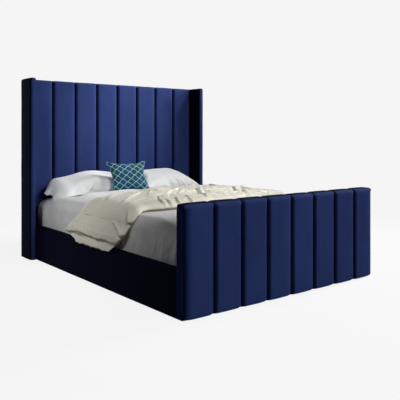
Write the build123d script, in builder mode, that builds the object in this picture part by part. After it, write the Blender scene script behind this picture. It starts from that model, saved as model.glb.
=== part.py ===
from build123d import *
import math
import os

# Upholstered wingback bed, dressed with its mattress and bedding, in millimetres.
# +X is the right-hand side seen from the foot, +Y points to the head, +Z is up.
# The origin is on the floor, in the middle of the overall width and length.

os.makedirs("parts", exist_ok=True)

# Mattress, and the room that the frame leaves around it
mattress_width = 1500.0
mattress_length = 2000.0
mattress_thickness = 280.0
mattress_corner = 90.0
mattress_top_round = 70.0
mattress_bottom_round = 25.0
side_room = 15.0
end_room = 12.0

# Upholstered side rails
rail_thickness = 50.0
rail_height = 265.0
rail_timber = 22.0
rail_outer_pad = 16.0
rail_top_pad = 12.0
rail_round = 15.0
rail_inner_round = 9.0

# Headboard, from the back cloth forward: cloth, timber frame, board, padded channels
headboard_height = 1430.0
back_cloth = 1.0
headboard_timber = 21.0
headboard_board = 4.0
headboard_padding = 20.0
headboard_cap = 16.0
headboard_top_round = 17.0
headboard_seam_round = 13.0
base_padding = 6.0

# Footboard, from the front back: padded channels, board, timber frame, board, plain cover
footboard_height = 615.0
footboard_padding = 27.0
footboard_board = 4.0
footboard_timber = 36.0
footboard_cover = 6.0
footboard_cap = 20.0
footboard_top_round = 30.0
footboard_bottom_round = 20.0
footboard_seam_round = 16.0
footboard_end_round = 19.0
footboard_cover_round = 5.0

# Padded channels of both boards
channel_count = 8
seam_gap = 0.6

# Wings at both sides of the headboard
wing_thickness = 46.0
wing_depth = 204.0
wing_core = 22.0
wing_front_pad = 14.0
wing_back_pad = 5.0
wing_top_pad = 14.0
wing_round = 18.0
wing_top_round = 14.0

# Timber of the two frames
post_width = 100.0
timber_width = 60.0
headboard_batten_count = 3
footboard_stud_count = 3

# Slats, their ledges, holders and centre beam
slat_top = 213.0
slat_thickness = 8.0
slat_width = 53.0
slat_count = 14
slat_margin = 70.0
holder_floor = 3.0
holder_wall = 5.0
holder_reach = 34.0
holder_web = 6.0
slat_play = 0.3
ledge_width = 25.0
ledge_height = 40.0
beam_width = 50.0
beam_height = 60.0
beam_bracket_plate = 3.0
beam_bracket_reach = 50.0
beam_bracket_flange = 30.0
leg_width = 45.0
leg_count = 3
leg_spacing = 500.0
leg_foot_wall = 3.0
leg_foot_height = 25.0

# Steel corner brackets and bolts
bracket_leg = 70.0
bracket_height = 90.0
bracket_plate = 4.0
bracket_low = 55.0
bolt_diameter = 8.0
bolt_head = 13.0
bolt_head_height = 5.5
bolt_play = 0.25
bolt_spacing = 50.0
rail_bolt_length = 36.0
footboard_bolt_length = 44.0
headboard_bolt_length = 32.0
wing_bolt_grip = 28.0
wing_bolt_count = 3

# Floor glides and the gap that they keep under timber and cloth
glide_diameter = 18.0
glide_height = 5.0
glide_chamfer = 1.5
floor_gap = 2.0

# Bedding
sheet_thickness = 1.5
sheet_hem = 35.0
soft_gap = 0.4
duvet_crown = 58.0
duvet_hem_drop = 22.0
duvet_hem_stand = 3.0
pillow_gap = 187.0
left_pillow_inset = 7.5
right_pillow_overhang = 4.5
pillow_depth = 405.0
pillow_crown = 84.0
pillow_seam = 4.0
pillow_draw = 14.0
pillow_tilt = 17.0
pillow_sink = 5.0
pillow_headboard_room = 6.0
cushion_width = 330.0
cushion_height = 292.0
cushion_crown = 52.0
cushion_seam = 3.0
cushion_draw = 16.0
cushion_tilt = 66.0
cushion_yaw = 14.0
cushion_sink = 4.0
cushion_middle = -115.0
cushion_from_headboard = 460.0

# One overrun for every cut
overrun = 1.0

# Places that follow from the sizes
inner_width = mattress_width + 2 * side_room
inner_length = mattress_length + 2 * end_room
frame_width = inner_width + 2 * rail_thickness
headboard_thickness = back_cloth + headboard_timber + headboard_board + headboard_padding
footboard_core = 2 * footboard_board + footboard_timber
footboard_thickness = footboard_padding + footboard_core + footboard_cover
overall_length = footboard_thickness + inner_length + headboard_thickness
foot_face = -overall_length / 2
foot_board_face = foot_face + footboard_padding
foot_inner = foot_face + footboard_thickness
head_back = overall_length / 2
head_face = head_back - headboard_thickness
head_board_face = head_face + headboard_padding
head_seat = head_board_face - base_padding
stile_front = head_board_face + headboard_board
stile_back = stile_front + headboard_timber
headboard_frame_top = headboard_height - headboard_cap
footboard_frame_top = footboard_height - footboard_cap
rail_outer = frame_width / 2
rail_inner = inner_width / 2
rail_timber_outer = rail_outer - rail_outer_pad
rail_timber_inner = rail_timber_outer - rail_timber
bed_middle = (foot_inner + head_face) / 2
seat_length = head_seat - foot_inner
channel_pitch = frame_width / channel_count
ledge_top = slat_top - slat_thickness - holder_floor
mattress_top = slat_top + mattress_thickness
sheet_top = mattress_top + sheet_thickness
bolt_levels = [bracket_low + (bracket_height + side * bolt_spacing) / 2 for side in (-1, 1)]


def write(builder, name):
    """Label a finished piece and save it under its own name."""
    builder.part.label = name
    export_step(builder.part, f"parts/{name}.step")


def spread(count, low, high):
    """Evenly spaced places from low to high, both included."""
    return [low + (high - low) * step / (count - 1) for step in range(count)]


def block(low, high):
    """A plain rectangular piece between two opposite corners."""
    with BuildPart() as piece:
        with BuildSketch(Plane(origin=low)):
            Rectangle(high[0] - low[0], high[1] - low[1], align=(Align.MIN, Align.MIN))
        extrude(amount=high[2] - low[2])
    return piece


def side_span(side, inner, outer):
    """The low and high X of something that lies between inner and outer on one side."""
    return sorted((side * inner, side * outer))


def drilled(piece, holes):
    """The same piece with the bolt holes taken out."""
    with BuildPart() as result:
        add(piece.part)
        add(holes.part, mode=Mode.SUBTRACT)
    return result


# Bolts and their holes

def bolt_planes():
    """Head planes of the corner bolts with the bolt lengths, pointing the way each one goes in."""
    planes = []
    for side in (-1, 1):
        for level in bolt_levels:
            for seat, out, length in (
                (foot_inner, -1, footboard_bolt_length),
                (head_seat, 1, headboard_bolt_length),
            ):
                plate_face = seat - out * bracket_plate
                leg_middle = seat - out * bracket_leg / 2
                across = side * (rail_inner - bracket_plate)
                along = side * (rail_inner - bracket_leg / 2)
                planes.append((Plane((across, leg_middle, level), z_dir=(side, 0, 0)), rail_bolt_length))
                planes.append((Plane((along, plate_face, level), z_dir=(0, out, 0)), length))
    return planes


def wing_bolt_planes():
    """Head planes of the bolts that go through each stile into the core of its wing."""
    levels = spread(wing_bolt_count, rail_height + timber_width, headboard_frame_top - 2 * timber_width)
    middle = (stile_front + stile_back) / 2
    length = post_width + wing_bolt_grip
    return [
        (Plane((side * (rail_outer - post_width), middle, level), z_dir=(side, 0, 0)), length)
        for side in (-1, 1)
        for level in levels
    ]


def bolts(planes):
    """Hexagon bolts, each with its head behind its plane."""
    with BuildPart() as group:
        for plane, length in planes:
            with BuildSketch(plane):
                Circle(bolt_diameter / 2)
            extrude(amount=length)
            with BuildSketch(plane):
                RegularPolygon(bolt_head / 2, side_count=6, major_radius=False)
            extrude(amount=-bolt_head_height)
    return group


def bolt_holes(planes):
    """The clearance holes of the same bolts, open at the head."""
    with BuildPart() as group:
        for plane, length in planes:
            with BuildSketch(plane.offset(-overrun)):
                Circle(bolt_diameter / 2 + bolt_play)
            extrude(amount=length + 2 * overrun)
    return group


corner_bolts = bolts(bolt_planes())
write(corner_bolts, "corner_bolts")
wing_bolts = bolts(wing_bolt_planes())
write(wing_bolts, "wing_bolts")
corner_holes = bolt_holes(bolt_planes())
wing_holes = bolt_holes(wing_bolt_planes())


# Headboard frame: two stiles, a top and a bottom rail, battens between them, board and cloth

stile_inner = rail_outer - post_width
for side, word in ((-1, "left"), (1, "right")):
    low_x, high_x = side_span(side, stile_inner, rail_outer)
    stile = block((low_x, stile_front, glide_height), (high_x, stile_back, headboard_frame_top))
    write(drilled(drilled(stile, corner_holes), wing_holes), f"headboard_stile_{word}")

head_rail_low = headboard_frame_top - timber_width
headboard_top_rail = block(
    (-stile_inner, stile_front, head_rail_low), (stile_inner, stile_back, headboard_frame_top)
)
write(headboard_top_rail, "headboard_top_rail")
headboard_bottom_rail = block(
    (-stile_inner, stile_front, glide_height),
    (stile_inner, stile_back, glide_height + timber_width),
)
write(headboard_bottom_rail, "headboard_bottom_rail")

batten_places = spread(headboard_batten_count + 2, -stile_inner, stile_inner)[1:-1]
with BuildPart() as headboard_battens:
    with BuildSketch(Plane.XY.offset(glide_height + timber_width)):
        with Locations(*[(place, (stile_front + stile_back) / 2) for place in batten_places]):
            Rectangle(timber_width, headboard_timber)
    extrude(amount=head_rail_low - glide_height - timber_width)
write(headboard_battens, "headboard_battens")

headboard_panel = block(
    (-rail_outer, head_board_face, glide_height), (rail_outer, stile_front, headboard_frame_top)
)
write(drilled(headboard_panel, corner_holes), "headboard_board")
headboard_back = block(
    (-rail_outer, stile_back, floor_gap), (rail_outer, head_back, headboard_frame_top)
)
write(headboard_back, "headboard_back_cloth")

headboard_channel_low = rail_height + rail_top_pad
headboard_base = block(
    (-rail_outer, head_seat, floor_gap), (rail_outer, head_board_face, headboard_channel_low)
)
write(drilled(headboard_base, corner_holes), "headboard_base_cover")


# Padded channels: each one hooks over the top of its board and rounds off into its seams

def channel(left, right, section, left_round, right_round):
    """One channel between two seams; section holds its front, board, back and heights."""
    front, board, back, bottom, frame_top, top, top_round, bottom_round = section
    with BuildPart() as piece:
        with BuildSketch(Plane(origin=(left, 0, 0), x_dir=(0, 1, 0), z_dir=(1, 0, 0))) as outline:
            with BuildLine():
                Polyline(
                    (board, bottom), (board, frame_top), (back, frame_top),
                    (back, top), (front, top), (front, bottom), close=True,
                )
            make_face()
            front_corners = outline.vertices().group_by(Axis.X)[0].sort_by(Axis.Y)
            fillet(front_corners[-1], top_round)
            if bottom_round:
                fillet(front_corners[0], bottom_round)
        extrude(amount=right - left)
        for end, radius in ((0, left_round), (-1, right_round)):
            rim = piece.faces().sort_by(Axis.X)[end].edges()
            outer = rim.filter_by(
                lambda edge: edge.center().Y < back - overrun
                and (edge.center().Z > frame_top + overrun or edge.center().Y < board - overrun)
                and (bottom_round or edge.center().Z > bottom + overrun)
            )
            fillet(outer, radius)
    return piece


headboard_section = (
    head_face, head_board_face, head_back, headboard_channel_low,
    headboard_frame_top, headboard_height, headboard_top_round, 0,
)
footboard_section = (
    foot_face, foot_board_face, foot_inner, floor_gap,
    footboard_frame_top, footboard_height, footboard_top_round, footboard_bottom_round,
)
for number in range(channel_count):
    left = number * channel_pitch - rail_outer + seam_gap / 2
    right = left + channel_pitch - seam_gap
    head_channel = channel(left, right, headboard_section, headboard_seam_round, headboard_seam_round)
    write(head_channel, f"headboard_channel_{number + 1}")
    left_round = footboard_end_round if number == 0 else footboard_seam_round
    right_round = footboard_end_round if number == channel_count - 1 else footboard_seam_round
    foot_channel = channel(left, right, footboard_section, left_round, right_round)
    write(foot_channel, f"footboard_channel_{number + 1}")


# Wings: a board core inside a padded cover, standing outside the headboard

wing_front = head_back - wing_depth
wing_side_pad = (wing_thickness - wing_core) / 2
wing_outer = rail_outer + wing_thickness
for side, word in ((-1, "left"), (1, "right")):
    core_low, core_high = side_span(side, rail_outer + wing_side_pad, wing_outer - wing_side_pad)
    core_front = wing_front + wing_front_pad
    core_back = head_back - wing_back_pad
    core_top = headboard_height - wing_top_pad
    core = block((core_low, core_front, glide_height), (core_high, core_back, core_top))
    write(drilled(core, wing_holes), f"wing_core_{word}")

    pocket = block((core_low, core_front, 0), (core_high, core_back, core_top))
    with BuildPart() as wing:
        with BuildSketch(Plane.XY.offset(floor_gap)) as plan:
            with Locations((side * (rail_outer + wing_outer) / 2, head_back - wing_depth / 2)):
                Rectangle(wing_thickness, wing_depth)
            fillet(plan.vertices().group_by(Axis.Y)[0], wing_round)
        extrude(amount=headboard_height - floor_gap)
        rim = wing.faces().sort_by(Axis.Z)[-1].edges()
        fillet(rim.filter_by(lambda edge: edge.center().Y < head_back - overrun), wing_top_round)
        add(pocket.part, mode=Mode.SUBTRACT)
        add(wing_holes.part, mode=Mode.SUBTRACT)
    write(wing, f"wing_cover_{word}")


# Footboard frame: two rails, end posts and studs, two boards and the plain cover

foot_timber_front = foot_board_face + footboard_board
foot_timber_back = foot_timber_front + footboard_timber
foot_core_back = foot_timber_back + footboard_board
foot_core_side = rail_outer - footboard_cover
foot_rail_low = footboard_frame_top - timber_width
footboard_top_rail = block(
    (-foot_core_side, foot_timber_front, foot_rail_low),
    (foot_core_side, foot_timber_back, footboard_frame_top),
)
write(footboard_top_rail, "footboard_top_rail")
footboard_bottom_rail = block(
    (-foot_core_side, foot_timber_front, glide_height),
    (foot_core_side, foot_timber_back, glide_height + timber_width),
)
write(drilled(footboard_bottom_rail, corner_holes), "footboard_bottom_rail")

stud_reach = foot_core_side - post_width
stud_places = spread(footboard_stud_count + 2, -stud_reach, stud_reach)[1:-1]
foot_timber_middle = (foot_timber_front + foot_timber_back) / 2
post_middle = foot_core_side - post_width / 2
with BuildPart() as footboard_uprights:
    with BuildSketch(Plane.XY.offset(glide_height + timber_width)):
        with Locations(*[(place, foot_timber_middle) for place in stud_places]):
            Rectangle(timber_width, footboard_timber)
        with Locations((-post_middle, foot_timber_middle), (post_middle, foot_timber_middle)):
            Rectangle(post_width, footboard_timber)
    extrude(amount=foot_rail_low - glide_height - timber_width)
write(drilled(footboard_uprights, corner_holes), "footboard_uprights")

footboard_front = block(
    (-foot_core_side, foot_board_face, glide_height),
    (foot_core_side, foot_timber_front, footboard_frame_top),
)
write(footboard_front, "footboard_front_board")
footboard_rear = block(
    (-foot_core_side, foot_timber_back, glide_height),
    (foot_core_side, foot_core_back, footboard_frame_top),
)
write(drilled(footboard_rear, corner_holes), "footboard_back_board")

with BuildPart() as footboard_plain_cover:
    with BuildSketch(Plane.XY.offset(floor_gap)) as plan:
        with Locations((0, (foot_board_face + foot_inner) / 2)):
            Rectangle(frame_width, footboard_core + footboard_cover)
        fillet(plan.vertices().group_by(Axis.Y)[-1], footboard_cover_round)
        with Locations((0, (foot_board_face + foot_core_back - overrun) / 2)):
            Rectangle(2 * foot_core_side, footboard_core + overrun, mode=Mode.SUBTRACT)
    extrude(amount=footboard_frame_top - floor_gap)
    add(corner_holes.part, mode=Mode.SUBTRACT)
write(footboard_plain_cover, "footboard_cover")


# Side rails: timber, padded cover and the ledge that carries the slats

for side, word in ((-1, "left"), (1, "right")):
    low_x, high_x = side_span(side, rail_timber_inner, rail_timber_outer)
    timber_top = rail_height - rail_top_pad
    timber = block((low_x, foot_inner, glide_height), (high_x, head_seat, timber_top))
    write(drilled(timber, corner_holes), f"side_rail_{word}")

    pocket = block((low_x, foot_inner - overrun, 0), (high_x, head_seat + overrun, timber_top))
    with BuildPart() as rail:
        with BuildSketch(Plane(origin=(0, foot_inner, 0), x_dir=(1, 0, 0), z_dir=(0, -1, 0))) as end:
            with Locations((side * (rail_inner + rail_outer) / 2, (floor_gap + rail_height) / 2)):
                Rectangle(rail_thickness, rail_height - floor_gap)
            top_corners = end.vertices().group_by(Axis.Y)[-1].sort_by(Axis.X)
            outer_corner, inner_corner = (top_corners[0], top_corners[-1])[:: -side]
            fillet(outer_corner, rail_round)
            fillet(inner_corner, rail_inner_round)
        extrude(amount=-seat_length)
        add(pocket.part, mode=Mode.SUBTRACT)
        add(corner_holes.part, mode=Mode.SUBTRACT)
    write(rail, f"side_rail_cover_{word}")

    low_x, high_x = side_span(side, rail_inner - ledge_width, rail_inner)
    ledge = block((low_x, foot_inner, ledge_top - ledge_height), (high_x, head_seat, ledge_top))
    write(ledge, f"slat_ledge_{word}")


# Steel corner brackets

with BuildPart() as corner_brackets:
    for side in (-1, 1):
        for seat, out in ((foot_inner, -1), (head_seat, 1)):
            corner = (side * rail_inner, seat)
            with BuildSketch(Plane.XY.offset(bracket_low)):
                with BuildLine():
                    Polyline(
                        corner,
                        (corner[0] - side * bracket_leg, corner[1]),
                        (corner[0] - side * bracket_leg, corner[1] - out * bracket_plate),
                        (corner[0] - side * bracket_plate, corner[1] - out * bracket_plate),
                        (corner[0] - side * bracket_plate, corner[1] - out * bracket_leg),
                        (corner[0], corner[1] - out * bracket_leg),
                        close=True,
                    )
                make_face()
            extrude(amount=bracket_height)
    add(corner_holes.part, mode=Mode.SUBTRACT)
write(corner_brackets, "corner_brackets")


# Centre beam, its hangers, legs and their feet

beam_low = ledge_top - beam_height
beam = block(
    (-beam_width / 2, foot_inner + beam_bracket_plate, beam_low),
    (beam_width / 2, head_seat - beam_bracket_plate, ledge_top),
)
write(beam, "centre_beam")

hanger_half = beam_width / 2 + beam_bracket_plate
with BuildPart() as centre_beam_brackets:
    for seat, out in ((foot_inner, -1), (head_seat, 1)):
        wall = Plane(origin=(0, seat, 0), x_dir=(out, 0, 0), z_dir=(0, -out, 0))
        with BuildSketch(wall):
            with Locations((0, beam_low - beam_bracket_plate)):
                Rectangle(
                    2 * (hanger_half + beam_bracket_flange), beam_height + beam_bracket_plate,
                    align=(Align.CENTER, Align.MIN),
                )
        extrude(amount=beam_bracket_plate)
        with BuildSketch(wall.offset(beam_bracket_plate)):
            with Locations((0, beam_low - beam_bracket_plate)):
                Rectangle(
                    2 * hanger_half, beam_height + beam_bracket_plate,
                    align=(Align.CENTER, Align.MIN),
                )
            with Locations((0, beam_low)):
                Rectangle(
                    beam_width, beam_height, align=(Align.CENTER, Align.MIN), mode=Mode.SUBTRACT
                )
        extrude(amount=beam_bracket_reach)
write(centre_beam_brackets, "centre_beam_brackets")

leg_places = [(0, place) for place in spread(leg_count, -leg_spacing, leg_spacing)]
with BuildPart() as centre_legs:
    with BuildSketch(Plane.XY.offset(glide_height)):
        with Locations(*leg_places):
            Rectangle(leg_width, leg_width)
    extrude(amount=beam_low - glide_height)
write(centre_legs, "centre_legs")

with BuildPart() as centre_leg_feet:
    with BuildSketch():
        with Locations(*leg_places):
            RectangleRounded(
                leg_width + 2 * leg_foot_wall, leg_width + 2 * leg_foot_wall, leg_foot_wall
            )
    extrude(amount=leg_foot_height)
    with BuildSketch(Plane.XY.offset(glide_height)):
        with Locations(*leg_places):
            Rectangle(leg_width, leg_width)
    extrude(amount=leg_foot_height, mode=Mode.SUBTRACT)
write(centre_leg_feet, "centre_leg_feet")


# Sprung slats in two rows, with cupped holders on the ledges and on the centre beam

slat_places = spread(slat_count, foot_inner + slat_margin, head_face - slat_margin)
slat_low = slat_top - slat_thickness
slat_outer_end = rail_inner - holder_wall
slat_inner_end = holder_web / 2
slat_length = slat_outer_end - slat_inner_end
for side, word in ((-1, "left"), (1, "right")):
    with BuildPart() as slats:
        with BuildSketch(Plane.XY.offset(slat_low)):
            with Locations(*[(side * (slat_inner_end + slat_length / 2), y) for y in slat_places]):
                Rectangle(slat_length - 2 * slat_play, slat_width)
        extrude(amount=slat_thickness)
    write(slats, f"slats_{word}")


def holders(places, length, slots):
    """Cups for the slat ends: a floor and walls as high as the slat, open where it enters."""
    with BuildPart() as group:
        with BuildSketch(Plane.XY.offset(ledge_top)):
            with Locations(*places):
                Rectangle(length, slat_width + 2 * holder_wall)
        extrude(amount=slat_top - ledge_top)
        with BuildSketch(Plane.XY.offset(slat_low)):
            with Locations(*slots):
                Rectangle(length, slat_width + 2 * slat_play)
        extrude(amount=slat_thickness + overrun, mode=Mode.SUBTRACT)
    return group


holder_middle = rail_inner - holder_reach / 2
outer_places = [(side * holder_middle, y) for side in (-1, 1) for y in slat_places]
outer_slots = [(side * (holder_middle - holder_wall), y) for side in (-1, 1) for y in slat_places]
write(holders(outer_places, holder_reach, outer_slots), "outer_slat_holders")
centre_places = [(0, y) for y in slat_places]
centre_length = 2 * holder_reach
centre_shift = slat_inner_end + centre_length / 2
centre_slots = [(side * centre_shift, y) for side in (-1, 1) for y in slat_places]
write(holders(centre_places, centre_length, centre_slots), "centre_slat_holders")


# Floor glides under the timber of both boards, the rails and the wings

wing_core_middle = rail_outer + wing_thickness / 2
stile_middle_y = (stile_front + stile_back) / 2
glide_places = [
    (side * share * post_middle, y)
    for side in (-1, 1)
    for share in (1, 1 / 3)
    for y in (foot_timber_middle, stile_middle_y)
]
glide_places += [
    (side * (rail_timber_inner + rail_timber_outer) / 2, y)
    for side in (-1, 1)
    for y in spread(3, foot_inner + bracket_leg, head_seat - bracket_leg)
]
glide_places += [
    (side * wing_core_middle, y)
    for side in (-1, 1)
    for y in (wing_front + 2 * glide_diameter, head_back - 2 * glide_diameter)
]
with BuildPart() as floor_glides:
    with BuildSketch():
        with Locations(*glide_places):
            Circle(glide_diameter / 2)
    extrude(amount=glide_height)
    chamfer(floor_glides.edges().group_by(Axis.Z)[0], glide_chamfer)
write(floor_glides, "floor_glides")


# Mattress and its fitted sheet

def rounded_slab(grow, low, bottom_round):
    """The mattress form, grown by the given thickness, from a level up to its top."""
    with BuildPart() as slab:
        with BuildSketch(Plane.XY.offset(low)):
            with Locations((0, bed_middle)):
                RectangleRounded(
                    mattress_width + 2 * grow, mattress_length + 2 * grow, mattress_corner + grow
                )
        extrude(amount=mattress_top + grow - low)
        fillet(slab.faces().sort_by(Axis.Z)[-1].edges(), mattress_top_round + grow)
        if bottom_round:
            fillet(slab.faces().sort_by(Axis.Z)[0].edges(), bottom_round)
    return slab


mattress = rounded_slab(0, slat_top, mattress_bottom_round)
write(mattress, "mattress")
sheet_outside = rounded_slab(sheet_thickness, slat_top + sheet_hem, 0)
with BuildPart() as fitted_sheet:
    add(sheet_outside.part)
    add(mattress.part, mode=Mode.SUBTRACT)
write(fitted_sheet, "fitted_sheet")


# Duvet: one loft from the left hem over the mattress to the right hem, with its main folds

# Head edge and foot edge as shares of half the mattress length, and crown as a share
duvet_row_shares = [
    (0.15, -0.32, 0.40),
    (0.18, -0.39, 0.50),
    (0.28, -0.45, 0.55),
    (0.20, -0.52, 0.65),
    (0.14, -0.56, 0.75),
    (0.12, -0.53, 0.85),
    (0.20, -0.465, 0.95),
    (0.265, -0.44, 1.00),
    (0.33, -0.42, 1.00),
    (0.41, -0.40, 1.00),
    (0.47, -0.39, 1.00),
    (0.48, -0.38, 1.00),
    (0.49, -0.375, 0.95),
    (0.55, -0.37, 0.85),
    (0.575, -0.36, 0.75),
    (0.58, -0.35, 0.65),
    (0.575, -0.335, 0.55),
    (0.55, -0.31, 0.50),
    (0.51, -0.29, 0.40),
]
# Fold boundaries from foot edge to head edge, and the heights of valleys and ridges
fold_place_share = (0, 0.17, 0.37, 0.58, 0.80, 1)
fold_valley_share = (0.30, 0.52, 0.42, 0.50, 0.46, 0.30)
fold_ridge_share = (1.00, 0.70, 0.88, 0.66, 0.84)

hem_x = rail_outer + duvet_hem_stand
hem_z = rail_height - duvet_hem_drop
shoulder = mattress_top_round + sheet_thickness + soft_gap
shoulder_x = mattress_width / 2 - mattress_top_round
shoulder_z = mattress_top - mattress_top_round
fall_angle = math.degrees(math.atan2(shoulder_z - rail_height, hem_x - shoulder_x - shoulder))
left_stations = [
    (-hem_x, hem_z, 90),
    (-hem_x, rail_height + rail_round, (90 + fall_angle) / 2),
    (-(hem_x + shoulder_x + shoulder) / 2, (rail_height + rail_round + shoulder_z) / 2, fall_angle),
    (-(shoulder_x + shoulder), shoulder_z, (90 + fall_angle) / 2),
    (
        -(shoulder_x + shoulder * math.sin(math.pi / 4)),
        shoulder_z + shoulder * math.sin(math.pi / 4), 45,
    ),
    (-shoulder_x, shoulder_z + shoulder, 0),
]
top_count = len(duvet_row_shares) - 2 * len(left_stations)
top_stations = [
    (x, shoulder_z + shoulder, 0) for x in spread(top_count + 2, -shoulder_x, shoulder_x)[1:-1]
]
right_stations = [(-x, z, -angle) for x, z, angle in reversed(left_stations)]


def duvet_section(station, row):
    """The closed outline of the duvet across one station of its way over the bed."""
    x, z, angle = station
    head_share, foot_share, crown_share = row
    turn = math.radians(angle)
    head = bed_middle + head_share * mattress_length / 2
    foot = bed_middle + foot_share * mattress_length / 2
    crown = duvet_crown * crown_share
    width = head - foot
    plane = Plane(
        origin=(x, 0, z), x_dir=(0, 1, 0), z_dir=(math.cos(turn), 0, math.sin(turn))
    )
    places = [foot + share * width for share in fold_place_share]
    valleys = [crown * share for share in fold_valley_share]
    ridges = [crown * share for share in fold_ridge_share]
    with BuildSketch(plane) as outline:
        with BuildLine():
            Line((head, 0), (foot, 0))
            Line((foot, 0), (foot, valleys[0]))
            for fold, ridge in enumerate(ridges):
                start = (places[fold], valleys[fold])
                end = (places[fold + 1], valleys[fold + 1])
                ThreePointArc(start, ((start[0] + end[0]) / 2, ridge), end)
            Line((head, valleys[-1]), (head, 0))
        make_face()
    return outline.sketch


duvet_sections = [
    duvet_section(station, row)
    for station, row in zip(left_stations + top_stations + right_stations, duvet_row_shares)
]
sheet_clearance = rounded_slab(sheet_thickness + soft_gap, slat_top, 0)
rail_clearance = block(
    (-rail_outer - soft_gap, foot_inner, 0),
    (rail_outer + soft_gap, head_face, rail_height + soft_gap),
)
with BuildPart() as duvet:
    loft(sections=duvet_sections)
    add(sheet_clearance.part, mode=Mode.SUBTRACT)
    add(rail_clearance.part, mode=Mode.SUBTRACT)
write(duvet, "duvet")


# Pillows and cushion: crowned forms whose sides draw in between the corners

crown_place_share = (-1, -0.88, -0.66, -0.35, 0, 0.35, 0.66, 0.88, 1)


def filled_case(middle, length, depth, crown, seam, draw, tilt):
    """A stuffed case lying along X, tilted about X, with its middle at the given point."""
    turn = math.radians(tilt)
    slope = (0, math.cos(turn), math.sin(turn))
    with BuildPart() as case:
        for share in crown_place_share:
            half_depth = depth / 2 - draw * (1 - share * share)
            half_crown = seam + (crown - seam) * (1 - abs(share) ** 3) ** (2 / 3)
            station = Plane(
                origin=(middle[0] + share * length / 2, middle[1], middle[2]),
                x_dir=slope, z_dir=(1, 0, 0),
            )
            with BuildSketch(station):
                with BuildLine():
                    Line((-half_depth, -seam / 2), (-half_depth, seam / 2))
                    ThreePointArc((-half_depth, seam / 2), (0, half_crown), (half_depth, seam / 2))
                    Line((half_depth, seam / 2), (half_depth, -seam / 2))
                    ThreePointArc((half_depth, -seam / 2), (0, -half_crown), (-half_depth, -seam / 2))
                make_face()
        loft()
        flat = Plane(origin=middle, x_dir=(1, 0, 0), z_dir=(0, -math.sin(turn), math.cos(turn)))
        with BuildSketch(flat.offset(-crown - overrun)):
            with BuildLine():
                for end in (-1, 1):
                    tip = (end * length / 2, depth / 2 + draw)
                    low_tip = (end * length / 2, -depth / 2 - draw)
                    ThreePointArc(low_tip, (end * (length / 2 - draw), 0), tip)
                Line((-length / 2, depth / 2 + draw), (length / 2, depth / 2 + draw))
                Line((-length / 2, -depth / 2 - draw), (length / 2, -depth / 2 - draw))
            make_face()
        extrude(amount=2 * (crown + overrun), mode=Mode.INTERSECT)
    return case


def seated(case, back):
    """The case cut flat where it rests on the sheet and where it leans on a wall."""
    reach = overall_length
    below = block((-reach, -reach, 0), (reach, reach, sheet_top + soft_gap))
    behind = block((-reach, back, 0), (reach, reach, headboard_height))
    with BuildPart() as result:
        add(case.part)
        add(below.part, mode=Mode.SUBTRACT)
        add(behind.part, mode=Mode.SUBTRACT)
    return result


def rest_height(depth, crown, tilt):
    """How high the middle of a tilted case lies over the lowest point of its lower arc."""
    radius = (depth * depth / 4 + crown * crown) / (2 * crown)
    return radius - (radius - crown) * math.cos(math.radians(tilt))


pillow_wall = head_face - soft_gap
pillow_length = (mattress_width - pillow_gap - left_pillow_inset + right_pillow_overhang) / 2
left_pillow_middle = -mattress_width / 2 + left_pillow_inset + pillow_length / 2
right_pillow_middle = mattress_width / 2 + right_pillow_overhang - pillow_length / 2
pillow_y = head_face - pillow_headboard_room - pillow_depth / 2 * math.cos(math.radians(pillow_tilt))
pillow_z = sheet_top + rest_height(pillow_depth, pillow_crown, pillow_tilt) - pillow_sink
for x, word in ((left_pillow_middle, "left"), (right_pillow_middle, "right")):
    pillow = filled_case(
        (x, pillow_y, pillow_z), pillow_length, pillow_depth,
        pillow_crown, pillow_seam, pillow_draw, pillow_tilt,
    )
    write(seated(pillow, pillow_wall), f"pillow_{word}")

cushion_turn = math.radians(cushion_tilt)
cushion_y = head_face - cushion_from_headboard + cushion_height / 2 * math.cos(cushion_turn)
cushion_z = sheet_top + cushion_height / 2 * math.sin(cushion_turn) - cushion_sink
cushion_case = filled_case(
    (cushion_middle, cushion_y, cushion_z), cushion_width, cushion_height,
    cushion_crown, cushion_seam, cushion_draw, cushion_tilt,
)
cushion_axis = Axis((cushion_middle, cushion_y, 0), (0, 0, 1))
with BuildPart() as cushion:
    add(cushion_case.part.rotate(cushion_axis, -cushion_yaw))
write(seated(cushion, pillow_wall), "cushion")
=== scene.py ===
import math

import bmesh
import bpy
import numpy as np
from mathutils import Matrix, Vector, noise


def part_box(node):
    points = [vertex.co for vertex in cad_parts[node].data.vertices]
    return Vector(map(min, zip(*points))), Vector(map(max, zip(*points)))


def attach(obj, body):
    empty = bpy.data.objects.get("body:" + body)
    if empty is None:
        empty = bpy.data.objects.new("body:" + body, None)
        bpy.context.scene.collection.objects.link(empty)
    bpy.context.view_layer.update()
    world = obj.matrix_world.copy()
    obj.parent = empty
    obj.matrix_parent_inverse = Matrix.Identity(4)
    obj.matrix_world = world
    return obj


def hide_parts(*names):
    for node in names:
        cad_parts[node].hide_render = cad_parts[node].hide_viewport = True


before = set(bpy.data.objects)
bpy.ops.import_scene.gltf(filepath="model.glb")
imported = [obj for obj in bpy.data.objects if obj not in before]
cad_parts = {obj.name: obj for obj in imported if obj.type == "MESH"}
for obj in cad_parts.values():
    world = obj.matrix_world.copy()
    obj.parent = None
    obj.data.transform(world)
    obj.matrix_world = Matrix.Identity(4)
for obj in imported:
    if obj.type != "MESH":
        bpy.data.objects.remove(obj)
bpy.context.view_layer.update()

scene = bpy.context.scene


# Camera at the photograph's viewing angle: place and reach in metres, turn in degrees, lens in mm

camera_place = (-2.605, -3.466, 0.972)
camera_turn = -38.296
camera_lens = 51.73
camera_sensor = 36
camera_shift = -0.16
camera_reach = 200

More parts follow.
